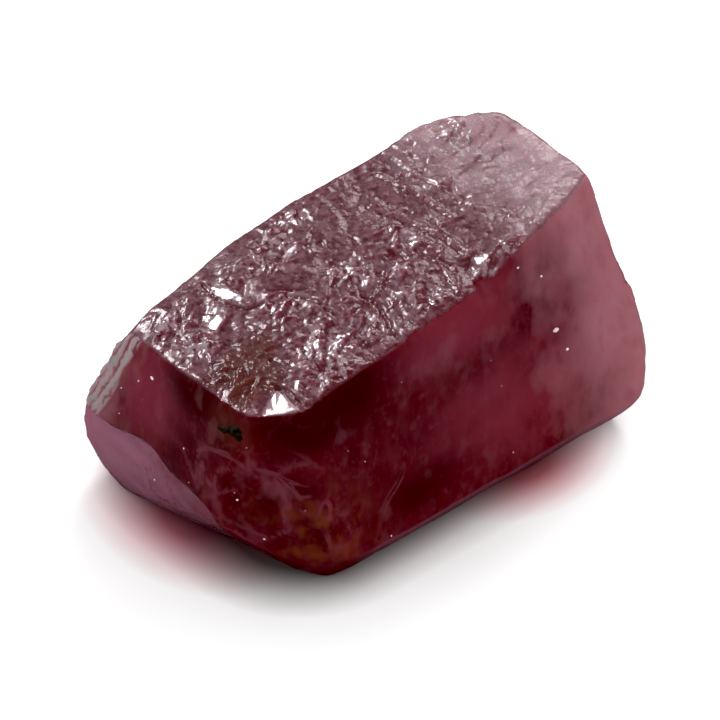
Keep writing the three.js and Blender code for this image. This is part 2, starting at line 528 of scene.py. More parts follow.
def makeStone():
    piece = refinedStone()
    mesh = piece.data
    points, normals = meshArrays(mesh)
    points = changeOutline(points, normals)
    share = shares(points)
    top = ramp(0.45, 0.8, normals[:, 2]) * ramp(0.6, 0.7, share[:, 2])
    rest = ramp(-0.75, -0.95, normals[:, 2]) * ramp(0.03, 0.01, share[:, 2])
    etched, busy, hollowShade, smear = etchedRelief(points[:, :2], share[:, 0], share[:, 1])
    relief = top * etched
    sides = (1 - top) * (1 - rest)
    relief += sideRelief(points, normals, sides)
    heel, ribs, heelGap, ribGap = leftEndParts(points, normals)
    ribWave = np.abs(np.sin(math.pi * ribCourse(points, ribGap)))
    ribWave += 0.5 * softNoise(points * np.array([1, 1, 0.6]), 0.35, 103, 2)
    relief += sides * ribs * stoneShape["ribHeight"] * ribWave
    relief -= sides * heel * stoneShape["heelStep"] * ramp(0.0, 0.06, heelGap)
    relief -= sides * stoneShape["crackDepth"] * crackMask(points)
    points += normals * relief[:, None]
    broken = breakFacets(points)
    points[:, 2] = np.maximum(points[:, 2], stoneLow[2])
    mesh.vertices.foreach_set("co", points.ravel())
    mesh.update()
    keepValues(mesh, "etched", top)
    keepValues(mesh, "sparkle", top * busy)
    keepValues(mesh, "hollowShade", top * hollowShade)
    keepValues(mesh, "smear", top * smear)
    keepValues(mesh, "broken", broken)
    triangles = sum(len(face.vertices) - 2 for face in mesh.polygons)
    thin = piece.modifiers.new("thin", "DECIMATE")
    thin.ratio = min(1.0, stoneShape["mostTriangles"] / triangles)
    settle(piece)
    mesh = piece.data
    print("stone:", triangles, "triangles thinned to", len(mesh.polygons))
    points, normals = meshArrays(mesh)
    paintTop(mesh, normals)
    paintEnd(mesh, points, normals)
    paintSides(mesh, points, normals)
    mesh.vertices.foreach_set("co", (points * mm).ravel())
    mesh.shade_smooth()
    mesh.update()
    joinRoot(piece, rubyMaterial())
    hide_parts("ruby_crystal")
    return piece


# soft spots of colour: the face, middle and half size by share (along the face, then up),
# how far they reach, the share across the stone where they fade in and are full, and strength
colourSpots = {
    "gloom": [
        ("end", (0.38, 0.70), (0.28, 0.13), 1.3, (0.14, 0.08), 1.0),
        ("end", (0.30, 0.62), (0.12, 0.12), 1.2, (0.14, 0.08), 0.8),
        ("front", (0.38, 0.27), (0.22, 0.14), 1.2, (0.20, 0.10), 0.8),
    ],
    "plum": [
        ("front", (0.52, 0.80), (0.22, 0.20), 1.3, (0.35, 0.20), 1.0),
        ("end", (0.66, 0.58), (0.20, 0.26), 1.3, (0.14, 0.08), 1.0),
        ("front", (0.62, 0.42), (0.32, 0.34), 1.2, (0.35, 0.20), 0.8),
    ],
    "rust": [
        ("front", (0.12, 0.27), (0.15, 0.24), 1.2, (0.35, 0.10), 1.0),
        ("front", (0.55, 0.20), (0.25, 0.20), 1.2, (0.60, 0.90), 0.6),
    ],
    "halo": [("end", (0.27, 0.67), (0.13, 0.11), 1.2, (0.14, 0.08), 0.26)],
}


def spotShare(share, name):
    best = np.zeros(len(share))
    for face, middle, half, reach, fade, strength in colourSpots[name]:
        along, across = (0, 1) if face == "front" else (1, 0)
        sideways = (share[:, along] - middle[0]) / half[0]
        upwards = (share[:, 2] - middle[1]) / half[1]
        spot = mound(np.hypot(sideways, upwards), reach) * ramp(*fade, share[:, across])
        best = np.maximum(best, strength * spot)
    return best


def paintTop(mesh, normals):
    # painted highlight and clear coat on the etch faces that lean towards the glint lamp, painted shade on
    # those that lean back
    etched, busy = readValues(mesh, "etched"), readValues(mesh, "sparkle")
    slope = -normals[:, :2] / np.maximum(normals[:, 2:], 0.2)
    lean = (slope - np.array(paintedLeanLight["topLean"])) @ np.array(paintedLeanLight["direction"])
    calm = paintedLeanLight["calmShare"]
    paintedGlintAndCoat = ramp(paintedLeanLight["starts"], paintedLeanLight["full"], lean) * (calm * etched + (1 - calm) * busy)
    paintedGlintAndCoat *= 1 - readValues(mesh, "smear")
    # painted highlight on faces leaning towards the glint lamp and on the broken facets; it also sets the coat
    keepValues(mesh, "paintedGlintAndCoat", np.maximum(paintedGlintAndCoat, readValues(mesh, "broken")))
    # painted shade on faces leaning away from the glint lamp
    keepValues(mesh, "paintedLeanShade", ramp(-0.02, -0.25, lean) * etched)


def paintEnd(mesh, points, normals):
    # the ribbed strip, with a painted highlight on its rib crests, and the smooth heel of the left end, paler
    # partly of its own and partly with painted floor reflection, and the hem above the underside, lightened
    # with painted floor light
    u, v, w = shares(points).T
    heel, ribs, heelGap, ribGap = leftEndParts(points, normals)
    # painted floor light: faces that look down near the bottom are made paler
    floorLitHem = ramp(-0.10, -0.35, normals[:, 2]) * ramp(0.32, 0.24, w) * ramp(0.18, 0.32, u) * 0.4
    # the painted highlight on the ribs keeps to their crests; the grooves between keep the body colour
    ribDark = ramp(0.7, 0.25, np.abs(np.sin(math.pi * ribCourse(points, ribGap))))
    ribDark *= ramp(-0.6, 0.1, softNoise(points, 0.4, 105, 2))
    keepValues(mesh, "ribbed", ribs * (1 - 0.95 * ribDark))
    keepValues(mesh, "heel", heel)
    drift = softNoise(points * np.array([1, 1, 2.2]), 0.8, 207, 4, 0.65)
    # the heel is paler partly of its own and partly with painted reflection of the floor
    heelTone = heel * (0.36 + 0.50 * ramp(0.2, 0.8, v) + 0.28 * drift)
    keepValues(mesh, "paleHeelAndFloorLight", np.maximum(heelTone, floorLitHem) * (1 - ribs))
    heelLine = mound(np.abs(heelGap), 0.05) * ramp(-0.6, 0.2, softNoise(points, 0.5, 211, 3, 0.7))
    keepValues(mesh, "heelCrack", heelLine * (1 - ribs) * ramp(0.3, 0.2, u))


def paintSides(mesh, points, normals):
    # where the body is pale, stained, veined, dark or plum coloured
    share = shares(points)
    u, v, w = share.T
    wander = 0.06 * softNoise(points, 2.2, 131, 3)
    pale = ramp(0.62, 0.98, u + wander + 0.10 * (w - 0.5))
    pale = np.maximum(pale, ramp(0.62, 0.95, v + wander) * ramp(0.25, 0.0, u) * 0.7)
    cloud = softNoise(warped(points, 1.6, 0.7, 201), 1.3, 203, 4, 0.65)
    pale = pale * (1 - hiddenShare(normals) * (0.22 + 0.55 * ramp(-0.25, 0.45, cloud)))
    keepValues(mesh, "pale", pale)
    rust = spotShare(share, "rust") * ramp(-0.1, 0.5, softNoise(points, 0.55, 137, 4, 0.7))
    keepValues(mesh, "rust", np.maximum(rust, spotShare(share, "halo")))
    # a net of pale veins round darker cells, and the cracks that reach the skin
    net = warped(warped(points, 1.4, 0.6, 141), 0.4, 0.12, 142)
    _, border = chips(net, 1.2, 0.1, 143)
    onSides = 1 - readValues(mesh, "etched")
    veins = mound(border, 0.07) * ramp(0.30, 0.12, u) * onSides
    veins *= 0.85 * ramp(-0.4, 0.5, softNoise(points, 1.0, 147, 3)) * ramp(0.9, 0.6, v)
    veins *= 1 - 0.8 * ramp(0.56, 0.66, w) * ramp(0.55, 0.4, v)
    keepValues(mesh, "veins", np.maximum(veins, 0.8 * crackMask(points) * onSides))
    curl = 0.4 * softNoise(warped(points, 1.2, 0.5, 181), 1.0, 183, 4, 0.65)
    upperCorner = ramp(0.35, 0.1, v) * ramp(0.5, 0.72, w) * ramp(0.40, 0.2, u)
    lowerEnd = ramp(0.22, 0.12, u) * ramp(0.70, 0.52, v) * ramp(0.12, 0.25, w) * ramp(0.62, 0.5, w)
    gloom = np.maximum(spotShare(share, "gloom"), upperCorner)
    gloom = np.maximum(gloom, 0.5 * lowerEnd * mound(0.35 - border, 0.35))
    keepValues(mesh, "gloom", ramp(0.0, 1.0, gloom + curl))
    keepValues(mesh, "plum", ramp(0.0, 1.0, spotShare(share, "plum") + curl))


def addNode(tree, kind, settings=None, values=None):
    node = tree.nodes.new(kind)
    for name, value in (settings or {}).items():
        setattr(node, name, value)
    for name, value in (values or {}).items():
        node.inputs[name].default_value = value
    return node


def feed(tree, socket, value):
    # value is a socket to link, or a plain number or colour
    if isinstance(value, bpy.types.NodeSocket):
        tree.links.new(value, socket)
    else:
        socket.default_value = value


def mixColours(tree, factor, first, second, blend="MIX"):
    mix = addNode(tree, "ShaderNodeMix", {"data_type": "RGBA", "blend_type": blend})
    for socket, value in ((mix.inputs[0], factor), (mix.inputs[6], first), (mix.inputs[7], second)):
        feed(tree, socket, value)
    return mix.outputs[2]


def mixValues(tree, factor, first, second):
    mix = addNode(tree, "ShaderNodeMix", {"data_type": "FLOAT"})
    for socket, value in ((mix.inputs[0], factor), (mix.inputs[2], first), (mix.inputs[3], second)):
        feed(tree, socket, value)
    return mix.outputs[0]


def workOut(tree, operation, *values):
    node = addNode(tree, "ShaderNodeMath", {"operation": operation})
    for socket, value in zip(node.inputs, values):
        feed(tree, socket, value)
    return node.outputs[0]


def mapRange(tree, value, fromLow, fromHigh, toLow, toHigh):
    node = addNode(tree, "ShaderNodeMapRange", {"clamp": True},
                   {"From Min": fromLow, "From Max": fromHigh, "To Min": toLow, "To Max": toHigh})
    tree.links.new(value, node.inputs["Value"])
    return node.outputs["Result"]


def bumpNode(tree, height, strength, distance, below=None):
    bump = addNode(tree, "ShaderNodeBump", None, {"Strength": strength, "Distance": distance})
    tree.links.new(height, bump.inputs["Height"])
    if below is not None:
        tree.links.new(below, bump.inputs["Normal"])
    return bump.outputs["Normal"]


def readMask(tree, name):
    return addNode(tree, "ShaderNodeAttribute", {"attribute_name": name}).outputs["Fac"]


def newMaterial(name):
    material = bpy.data.materials.new(name)
    material.use_nodes = True
    tree = material.node_tree
    tree.nodes.clear()
    shader = addNode(tree, "ShaderNodeBsdfPrincipled")
    output = addNode(tree, "ShaderNodeOutputMaterial")
    tree.links.new(shader.outputs["BSDF"], output.inputs["Surface"])
    return material, tree, shader, output


def mineralGrainGroup():
    # fine natural unevenness: a shade for colours and roughness, and a height for bumps
    group = bpy.data.node_groups.new("mineralGrain", "ShaderNodeTree")
    face = group.interface
    face.new_socket("Grain Size", in_out="INPUT", socket_type="NodeSocketFloat")
    face.new_socket("Stretch", in_out="INPUT", socket_type="NodeSocketVector")
    face.new_socket("Shade", in_out="OUTPUT", socket_type="NodeSocketFloat")
    face.new_socket("Height", in_out="OUTPUT", socket_type="NodeSocketFloat")
    start = addNode(group, "NodeGroupInput")
    end = addNode(group, "NodeGroupOutput")
    spot = addNode(group, "ShaderNodeTexCoord")
    stretch = addNode(group, "ShaderNodeVectorMath", {"operation": "MULTIPLY"})
    broad = addNode(group, "ShaderNodeTexNoise", None, {"Detail": 2.0, "Roughness": 0.6})
    pits = addNode(group, "ShaderNodeTexNoise", {"noise_type": "RIDGED_MULTIFRACTAL"}, {"Detail": 1.0})
    group.links.new(spot.outputs["Object"], stretch.inputs[0])
    group.links.new(start.outputs["Stretch"], stretch.inputs[1])
    group.links.new(stretch.outputs[0], broad.inputs["Vector"])
    group.links.new(stretch.outputs[0], pits.inputs["Vector"])
    scale = workOut(group, "DIVIDE", 1.0, start.outputs["Grain Size"])
    group.links.new(scale, broad.inputs["Scale"])
    group.links.new(workOut(group, "MULTIPLY", scale, 2.3), pits.inputs["Scale"])
    height = workOut(group, "MULTIPLY_ADD", pits.outputs["Fac"], 0.5, broad.outputs["Fac"])
    group.links.new(broad.outputs["Fac"], end.inputs["Shade"])
    group.links.new(height, end.inputs["Height"])
    return group


def grainNode(tree, size, stretch=(1, 1, 1)):
    node = addNode(tree, "ShaderNodeGroup", {"node_tree": grainGroup})
    node.inputs["Grain Size"].default_value = size
    node.inputs["Stretch"].default_value = stretch
    return node


rubyLook = {
    "deep": (0.24, 0.008, 0.022, 1),
    "dark": (0.12, 0.002, 0.008, 1),
    "plum": (0.52, 0.055, 0.105, 1),
    "rose": (1.0, 0.39, 0.47, 1),
    "speck": (0.54, 0.09, 0.12, 1),
    "vein": (0.50, 0.12, 0.18, 1),
    "rust": (0.46, 0.10, 0.035, 1),
    # the heel's own paleness together with painted floor light on it and on the hem
    "heel": (0.80, 0.34, 0.50, 1),
    # painted highlight on the rib crests
    "ribCrestGlint": (0.95, 0.75, 0.76, 1),
    "bark": (0.20, 0.034, 0.048, 1),  # the etched top, with what follows
    "silver": (0.50, 0.20, 0.27, 1),
    # painted highlight colour for etch faces leaning towards the glint lamp
    "paintedGlint": (0.95, 0.66, 0.74, 1),
    "frost": (0.95, 0.66, 0.74, 1),
    "smear": (0.19, 0.026, 0.016, 1),
    "ochre": (0.36, 0.11, 0.045, 1),
    "mottling": 0.5,  # most that each grain may add
    "curdling": 0.26,
    "streaking": 0.12,
    "specking": 0.32,
    "blushing": 0.4,
    "frosting": 0.95,
    "staining": 0.6,
    # how strong the painted shade on etch faces leaning back is
    "paintedShadeStrength": 0.6,
    "roughSides": (0.285, 0.38),
    "roughTop": (0.17, 0.36),
    "roughSmear": 0.24,
    "roughHeel": 0.16,
    "bumpSides": (0.25, 0.00003),  # strength, metres
    "bumpTop": (0.32, 0.00005),
    "coatTop": (0.03, 0.9),  # on the deep and on the polished faces
    "coatRibs": 0.5,
    "coatRoughness": 0.16,
    "coatIor": 1.55,
    "transmission": 0.72,
    "ior": 1.77,
    "shine": (0.16, 0.12, 0.14, 1),
    "glow": 0.6,
    "glowReach": (1.0, 0.25, 0.35),
    "glowDepth": 0.0012,
    "absorb": (0.74, 0.03, 0.14, 1),
    "density": 1300.0,  # per metre
}

# grain sizes in metres, and how each is squeezed along x, y and z
rubyGrains = {
    "mottle": (0.0012, (1.0, 1.0, 1.0)),
    "curds": (0.0005, (1.0, 1.0, 0.7)),
    "streaks": (0.0006, (2.6, 2.6, 0.35)),
    "fine": (0.00022, (1.0, 1.0, 1.0)),
    "crumbs": (0.00011, (1.0, 1.0, 1.0)),
}


def sideColour(tree, shade, cloudy):
    # the clear body: deep red, clouded, veined and pale towards the right-hand end
    mottled = mapRange(tree, shade["mottle"], 0.3, 0.7, 0, rubyLook["mottling"])
    body = mixColours(tree, mottled, rubyLook["deep"], rubyLook["dark"])
    body = mixColours(tree, readMask(tree, "plum"), body, rubyLook["plum"])
    curdled = mapRange(tree, shade["curds"], 0.42, 0.75, 0, rubyLook["curdling"])
    body = mixColours(tree, curdled, body, rubyLook["speck"])
    streaky = mapRange(tree, shade["streaks"], 0.5, 0.75, 0, rubyLook["streaking"])
    body = mixColours(tree, streaky, body, rubyLook["vein"])
    specky = mapRange(tree, shade["fine"], 0.54, 0.70, 0, rubyLook["specking"])
    body = mixColours(tree, specky, body, rubyLook["speck"])
    body = mixColours(tree, readMask(tree, "gloom"), body, rubyLook["dark"])
    blush = mapRange(tree, shade["curds"], 0.45, 0.68, 0, rubyLook["blushing"])
    rosy = mixColours(tree, blush, rubyLook["rose"], rubyLook["vein"])
    body = mixColours(tree, mapRange(tree, cloudy, 0.85, 1.70, 0, 1), body, rosy)
    # painted highlight on the rib crests, the heel's paleness with painted floor light, then veins and the
    # heel crack
    for mask, colour in (("paleHeelAndFloorLight", "heel"), ("ribbed", "ribCrestGlint"), ("veins", "vein"), ("heelCrack", "dark")):
        body = mixColours(tree, readMask(tree, mask), body, rubyLook[colour])
    return body


def topColour(tree, shade, cloudy):
    # the etched top: dark bark with silvery grains, painted highlights on faces leaning towards the glint
    # lamp, painted shade on faces leaning back and in hollows, and the brown stain
    speckled = workOut(tree, "ADD", shade["fine"], shade["crumbs"])
    frosted = mapRange(tree, speckled, 0.80, 1.20, 0.0, 1.0)
    silvery = workOut(tree, "MULTIPLY", frosted, mapRange(tree, readMask(tree, "sparkle"), 0, 1, 0.6, 0.9))
    colour = mixColours(tree, silvery, rubyLook["bark"], rubyLook["silver"])
    frostiness = mapRange(tree, cloudy, 0.95, 1.70, 0, rubyLook["frosting"])
    colour = mixColours(tree, frostiness, colour, rubyLook["frost"])
    # painted highlight
    colour = mixColours(tree, readMask(tree, "paintedGlintAndCoat"), colour, rubyLook["paintedGlint"])
    # painted shade on faces leaning back, then painted shade in the hollows
    paintedLeanShade = mapRange(tree, readMask(tree, "paintedLeanShade"), 0, 1, 0, rubyLook["paintedShadeStrength"])
    colour = mixColours(tree, paintedLeanShade, colour, rubyLook["deep"])
    # painted shade in hollows, grooves and on the shaded side of ridges
    colour = mixColours(tree, readMask(tree, "hollowShade"), colour, rubyLook["deep"])
    ochreShare = mapRange(tree, shade["fine"], 0.5, 0.68, 0, rubyLook["staining"])
    stain = mixColours(tree, ochreShare, rubyLook["smear"], rubyLook["ochre"])
    return mixColours(tree, readMask(tree, "smear"), colour, stain)


def rubyMaterial():
    material, tree, shader, output = newMaterial("ruby")
    link = tree.links.new
    etched, smear = readMask(tree, "etched"), readMask(tree, "smear")
    grains = {name: grainNode(tree, size, squeeze) for name, (size, squeeze) in rubyGrains.items()}
    shade = {name: grain.outputs["Shade"] for name, grain in grains.items()}
    cloudy = workOut(tree, "MULTIPLY_ADD", shade["curds"], 0.75, readMask(tree, "pale"))
    cloudy = workOut(tree, "MULTIPLY_ADD", shade["mottle"], 0.75, cloudy)
    colour = mixColours(tree, etched, sideColour(tree, shade, cloudy), topColour(tree, shade, cloudy))
    link(mixColours(tree, readMask(tree, "rust"), colour, rubyLook["rust"]), shader.inputs["Base Color"])
    # a thin clear coat on the etch faces that lean towards the glint lamp and on the ribs
    polished = mapRange(tree, readMask(tree, "paintedGlintAndCoat"), 0, 1, *rubyLook["coatTop"])
    coat = workOut(tree, "MULTIPLY", etched, polished)
    coat = workOut(tree, "MULTIPLY", coat, mapRange(tree, smear, 0, 1, 1.0, 0.0))
    coat = workOut(tree, "MULTIPLY_ADD", readMask(tree, "ribbed"), rubyLook["coatRibs"], coat)
    link(coat, shader.inputs["Coat Weight"])
    shader.inputs["Coat Roughness"].default_value = rubyLook["coatRoughness"]
    shader.inputs["Coat IOR"].default_value = rubyLook["coatIor"]
    roughSides = mapRange(tree, shade["streaks"], 0.3, 0.7, *rubyLook["roughSides"])
    roughTop = mapRange(tree, shade["fine"], 0.3, 0.7, *rubyLook["roughTop"])
    roughTop = mixValues(tree, smear, roughTop, rubyLook["roughSmear"])
    rough = mixValues(tree, etched, roughSides, roughTop)
    link(mixValues(tree, readMask(tree, "heel"), rough, rubyLook["roughHeel"]), shader.inputs["Roughness"])
    sideNormal = bumpNode(tree, shade["streaks"], *rubyLook["bumpSides"])
    gritty = workOut(tree, "MULTIPLY_ADD", grains["crumbs"].outputs["Height"], 0.15,
                     grains["fine"].outputs["Height"])
    gritty = workOut(tree, "MULTIPLY", gritty, etched)
    link(bumpNode(tree, gritty, *rubyLook["bumpTop"], sideNormal), shader.inputs["Normal"])
    shader.inputs["Metallic"].default_value = 0.0
    shader.inputs["Transmission Weight"].default_value = rubyLook["transmission"]
    shader.inputs["IOR"].default_value = rubyLook["ior"]
    shader.inputs["Specular Tint"].default_value = rubyLook["shine"]
    shader.inputs["Subsurface Weight"].default_value = rubyLook["glow"]
    shader.inputs["Subsurface Radius"].default_value = rubyLook["glowReach"]
    shader.inputs["Subsurface Scale"].default_value = rubyLook["glowDepth"]
    absorb = addNode(tree, "ShaderNodeVolumeAbsorption", None,
                     {"Color": rubyLook["absorb"], "Density": rubyLook["density"]})
    link(absorb.outputs["Volume"], output.inputs["Volume"])
    return material


# what is sealed in the crystal or sits in its skin follows: places by share, sizes in millimetres


def newPiece(build, name):
    mesh = bpy.data.meshes.new(name)
    build.to_mesh(mesh)
    build.free()
    points, _ = meshArrays(mesh)
    mesh.vertices.foreach_set("co", (points * mm).ravel())
    mesh.shade_smooth()
    return linkPiece(name, mesh)


def addBlob(build, middle, axes, sizes, seed, fineness=2):
    # an uneven little body: a ball pushed in and out, then stretched along three axes
    ball = bmesh.ops.create_icosphere(build, subdivisions=fineness, radius=1)["verts"]
    points = np.array([vertex.co for vertex in ball])
    points *= (1 + 0.45 * softNoise(points, 0.9, seed, 2))[:, None]
    points = (points * np.array(sizes)) @ np.array(axes) + middle
    for vertex, point in zip(ball, points):
        vertex.co = point


def skinAt(stone, spot):
    # the nearest point of the skin, with two directions along it and its outward normal
    _, point, normal, _ = stone.closest_point_on_mesh(Vector(spot * mm))
    side = normal.cross(Vector((0, 0, 1))).normalized()
    return np.array(point) / mm, np.array([side, normal.cross(side), normal])


def depthInside(stone, spot):
    # millimetres below the skin, negative outside
    _, point, normal, _ = stone.closest_point_on_mesh(Vector(spot * mm))
    gap = point - Vector(spot * mm)
    return math.copysign(gap.length, gap.dot(normal)) / mm


darkGrain = {
    "lumps": [  # place, size
        ((0.03, 0.25, 0.68), (0.25, 0.19, 0.08)),
        ((0.03, 0.29, 0.66), (0.30, 0.12, 0.06)),
        ((0.03, 0.235, 0.665), (0.12, 0.14, 0.07)),
    ],
    "lean": 0.35,
    "sink": 0.035,
    "dark": (0.002, 0.002, 0.001, 1),
    "light": (0.02, 0.012, 0.006, 1),
    "roughness": 0.6,
    "gloss": 0.12,
}


def makeDarkGrain(stone):
    build = bmesh.new()
    lean = darkGrain["lean"]
    for index, (spot, size) in enumerate(darkGrain["lumps"]):
        point, (side, up, out) = skinAt(stone, place(*spot))
        long = side * math.cos(lean) + up * math.sin(lean)
        short = up * math.cos(lean) - side * math.sin(lean)
        addBlob(build, point - out * darkGrain["sink"], [long, short, out], size, 161 + index, 4)
    joinRoot(newPiece(build, "dark_grain"), plainMineral("darkOre", darkGrain))


paleSpecks = {
    "specks": [  # place, size
        ((0.748, 0.062, 0.590), 0.075),
        ((0.771, 0.048, 0.495), 0.045),
        ((0.742, 0.108, 0.797), 0.040),
        ((0.681, 0.107, 0.881), 0.035),
        ((0.040, 0.648, 0.627), 0.060),
        ((0.049, 0.275, 0.760), 0.045),
        ((0.025, 0.232, 0.401), 0.030),
        ((0.060, 0.176, 0.235), 0.030),
    ],
    "dust": 20,  # smaller ones, anywhere on the front and left
    "dustSize": 0.017,
    "dark": (0.60, 0.46, 0.46, 1),
    "light": (0.86, 0.78, 0.76, 1),
    "roughness": 0.5,
    "gloss": 0.3,
}


def makePaleSpecks(stone):
    build = bmesh.new()
    for index, (spot, size) in enumerate(paleSpecks["specks"]):
        point, axes = skinAt(stone, place(*spot))
        addBlob(build, point, axes, (size, size * 0.75, size * 0.6), 171 + index)
    random = np.random.default_rng(7)
    for index in range(paleSpecks["dust"]):
        u, v, w = random.uniform((0.0, 0.0, 0.15), (0.95, 0.9, 0.85))
        spot = (u, 0, w) if index % 2 else (0, v, w)
        point, axes = skinAt(stone, place(*spot))
        size = paleSpecks["dustSize"] * random.uniform(0.6, 1.4)
        addBlob(build, point, axes, (size, size, size * 0.7), 200 + index, 1)
    joinRoot(newPiece(build, "pale_specks"), plainMineral("paleChip", paleSpecks))


silkNeedles = {
    "count": 520,
    "length": (0.35, 1.3),
    "width": 0.011,
    "low": (0.52, 0.15, 0.12),  # the part of the stone they lie in
    "high": (0.95, 0.85, 0.85),
    "headings": (20, 80, 140),  # degrees, the crystal's three directions
    "leastDepth": 0.08,
    "dark": (0.90, 0.55, 0.60, 1),
    "light": (1.0, 0.82, 0.84, 1),
    "roughness": 0.3,
    "gloss": 0.5,
}


def makeSilk(stone):
    build = bmesh.new()
    random = np.random.default_rng(11)
    upward = np.array([0, 0, 1])
    made = 0
    for _ in range(silkNeedles["count"] * 3):
        middle = place(*random.uniform(silkNeedles["low"], silkNeedles["high"]))
        heading = math.radians(random.choice(silkNeedles["headings"]) + random.normal(0, 2.5))
        run = np.array([math.cos(heading), math.sin(heading), random.normal(0, 0.05)])
        half = run * random.uniform(*silkNeedles["length"]) / 2
        width = silkNeedles["width"] * random.uniform(0.5, 1.3)
        if made == silkNeedles["count"]:
            continue
        depth = min(depthInside(stone, middle + half), depthInside(stone, middle - half))
        if depth < silkNeedles["leastDepth"]:
            continue
        side = np.array([-run[1], run[0], 0])
        turns = (0, 2.1, 4.2)
        ring = [middle + width * (math.cos(turn) * side + math.sin(turn) * upward) for turn in turns]
        ring = [build.verts.new(spot) for spot in ring]
        ends = [build.verts.new(middle + half), build.verts.new(middle - half)]
        for first, second in zip(ring, ring[1:] + ring[:1]):
            build.faces.new((first, second, ends[0]))
            build.faces.new((second, first, ends[1]))
        made += 1
    bmesh.ops.recalc_face_normals(build, faces=build.faces)
    joinRoot(newPiece(build, "silk_needles"), plainMineral("silk", silkNeedles))


healedCracks = {
    "sheets": [  # middle, direction across, direction along, reach each way
        ((0.12, 0.34, 0.52), (0.55, 1.0, 0.1), (0.25, -0.1, 1.0), (1.5, 1.3)),
        ((0.20, 0.22, 0.38), (1.0, 0.25, 0.2), (-0.1, 0.35, 1.0), (1.2, 1.0)),
        ((0.36, 0.30, 0.45), (0.9, -0.3, 0.5), (-0.4, 0.5, 0.8), (1.6, 1.0)),
        ((0.76, 0.30, 0.45), (0.4, 1.0, 0.0), (0.15, 0.1, 1.0), (1.5, 1.6)),
    ],
    "steps": 44,
    "bend": 0.25,
    "leastDepth": 0.06,
    "thickness": 0.008,
    "dark": (0.75, 0.28, 0.36, 1),
    "light": (0.95, 0.60, 0.66, 1),
    "roughness": 0.25,
    "gloss": 0.5,
}


def makeHealedCracks(stone):
    # thin wavy sheets with holes, like fingerprints, kept under the skin
    build = bmesh.new()
    count = healedCracks["steps"]
    steps = np.linspace(-1, 1, count)
    flat = np.array([(s, t) for s in steps for t in steps])
    for index, (middle, across, along, reach) in enumerate(healedCracks["sheets"]):
        across, along = [np.array(way) / np.linalg.norm(way) for way in (across, along)]
        out = np.cross(across, along)
        bend = healedCracks["bend"] * softNoise(flat, 1.1, 301 + index, 3)
        holes = softNoise(warped(flat, 0.5, 0.25, 311 + index), 0.16, 321 + index, 2)
        rim = np.hypot(flat[:, 0], flat[:, 1]) + 0.35 * softNoise(flat, 0.7, 331 + index, 2)
        spots = place(*middle) + flat[:, :1] * reach[0] * across
        spots += flat[:, 1:] * reach[1] * along + bend[:, None] * out
        keep = (holes > -0.12) & (rim < 0.95)
        keep &= np.array([depthInside(stone, spot) > healedCracks["leastDepth"] for spot in spots])
        corners = [build.verts.new(spot) for spot in spots]
        for row, column in itertools.product(range(count - 1), repeat=2):
            first = row * count + column
            square = [first, first + 1, first + count + 1, first + count]
            if keep[square].all():
                build.faces.new([corners[corner] for corner in square])
    bmesh.ops.delete(build, geom=[v for v in build.verts if not v.link_faces], context="VERTS")
    bmesh.ops.solidify(build, geom=build.faces[:], thickness=healedCracks["thickness"])
    joinRoot(newPiece(build, "healed_cracks"), plainMineral("veil", healedCracks))


def plainMineral(name, look):
    material, tree, shader, _ = newMaterial(name)
    grain = grainNode(tree, 0.00012)
    shade = grain.outputs["Shade"]
    factor = mapRange(tree, shade, 0.3, 0.7, 0, 1)
    rough = look["roughness"]
    feed(tree, shader.inputs["Base Color"], mixColours(tree, factor, look["dark"], look["light"]))
    feed(tree, shader.inputs["Roughness"], mapRange(tree, shade, 0.3, 0.7, rough - 0.12, rough + 0.12))
    feed(tree, shader.inputs["Normal"], bumpNode(tree, grain.outputs["Height"], 0.5, 0.00001))
    shader.inputs["Specular IOR Level"].default_value = look["gloss"]
    return material


studioSet = {
    "floorRadius": 1.2,
    "floorColour": (0.93, 0.93, 0.93, 1),
    "floorRoughness": 0.8,
    "floorGloss": 0.1,
    "floorInShine": 0.93,  # how far the floor is darkened where the stone mirrors it
    "blackLevel": 0.007,
    "skyStrength": 1.75,
    "skyInShine": 0.55,
    "backBox": {"toward": (0.66, 0.42, 0.62), "away": 0.30, "size": (0.14, 0.12), "power": 0.45},
    "glintBox": {"toward": (-0.13, 0.77, 0.63), "away": 0.40, "size": (0.11, 0.08), "power": 1.2},
}


# close shadow and the stone's red light on the floor round its foot: places and reach in millimetres
footShade = {
    "middle": (-0.45, 0.1, 0.0),
    "halfSize": (2.65, 1.35, 1.0),
    "close": (1.5, 3.2),  # from the box: full strength up to the first, gone at the second
    "closeColour": (0.14, 0.115, 0.115, 1),
    "leftRed": {"middle": (-5.0, 0.6, 0.0), "reach": (2.0, 3.1, 4.0), "colour": (0.64, 0.21, 0.26, 1)},
    "rightRed": {"middle": (2.3, -3.2, 0.0), "reach": (2.4, 1.6, 4.0), "colour": (0.80, 0.26, 0.30, 1)},
}


def vectorStep(tree, operation, first, second=None):
    node = addNode(tree, "ShaderNodeVectorMath", {"operation": operation})
    tree.links.new(first, node.inputs[0])
    if second is not None:
        node.inputs[1].default_value = second
    return node.outputs["Value"] if operation == "LENGTH" else node.outputs["Vector"]


def footShadow(tree):
    # 1 under the stone, fading outwards from its foot
    spot = addNode(tree, "ShaderNodeTexCoord").outputs["Object"]
    spot = vectorStep(tree, "SUBTRACT", spot, [part * mm for part in footShade["middle"]])
    beyond = vectorStep(tree, "SUBTRACT", vectorStep(tree, "ABSOLUTE", spot),
                        [side * mm for side in footShade["halfSize"]])
    gap = vectorStep(tree, "LENGTH", vectorStep(tree, "MAXIMUM", beyond, (0, 0, 0)))
    strong, gone = [reach * mm for reach in footShade["close"]]
    return mapRange(tree, gap, strong, gone, 1, 0)


